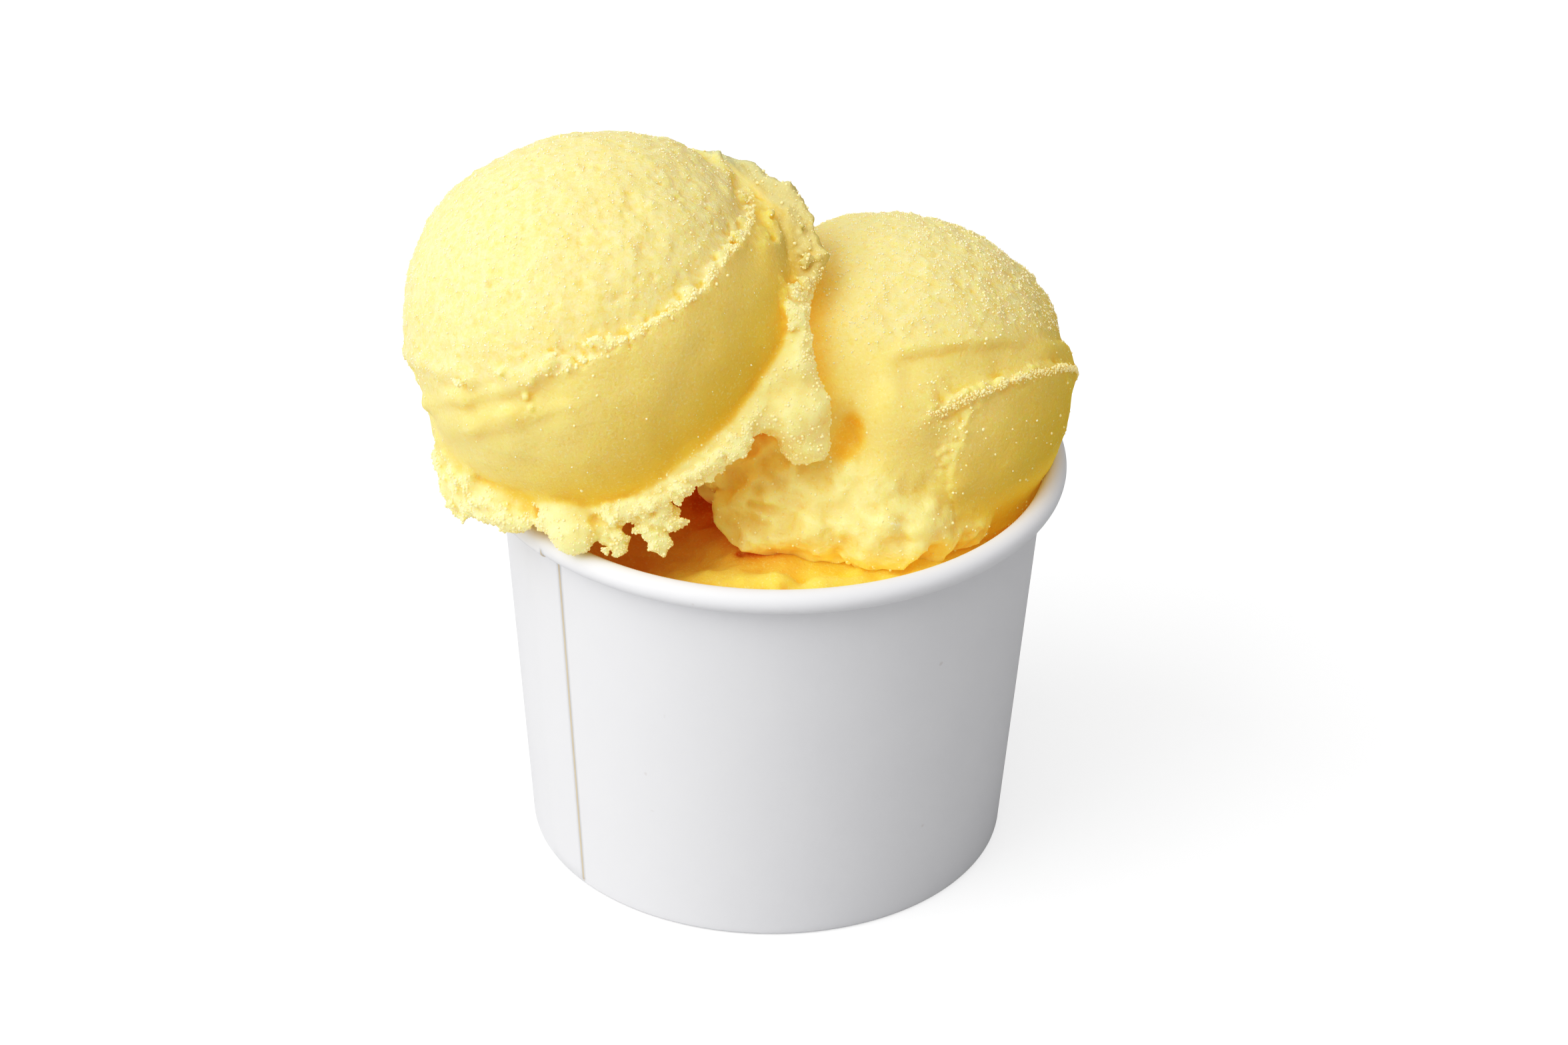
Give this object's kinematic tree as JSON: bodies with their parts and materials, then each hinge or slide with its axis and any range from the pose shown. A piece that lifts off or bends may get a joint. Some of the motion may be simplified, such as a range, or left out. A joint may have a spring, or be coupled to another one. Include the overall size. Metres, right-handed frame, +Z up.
{
  "type": "sorbet scoops in a paper cup",
  "caption": "Mango sorbet scoops leaning together on packed sorbet in a plain white paper cup with a rolled rim and a lapped side seam.",
  "frame": {"origin": "on the surface the cup stands on, under the middle of the whole object's box; the cup's axis is 4.2 mm to +X of it", "axes": "+Z up along the cup's axis, -Y towards the side seen in the picture, +X to the right as seen from there"},
  "size_m": [0.1014, 0.09, 0.1195],
  "materials": {
    "paper": "smooth matt coated white",
    "sorbet": "frosty, fine grained, moist where torn"
  },
  "bodies": {
    "root": {"cup_wall": "paper", "cup_base": "paper", "ice_cream_base": "sorbet", "scoop_left": "sorbet", "scoop_right": "sorbet"}
  },
  "joints": []
}
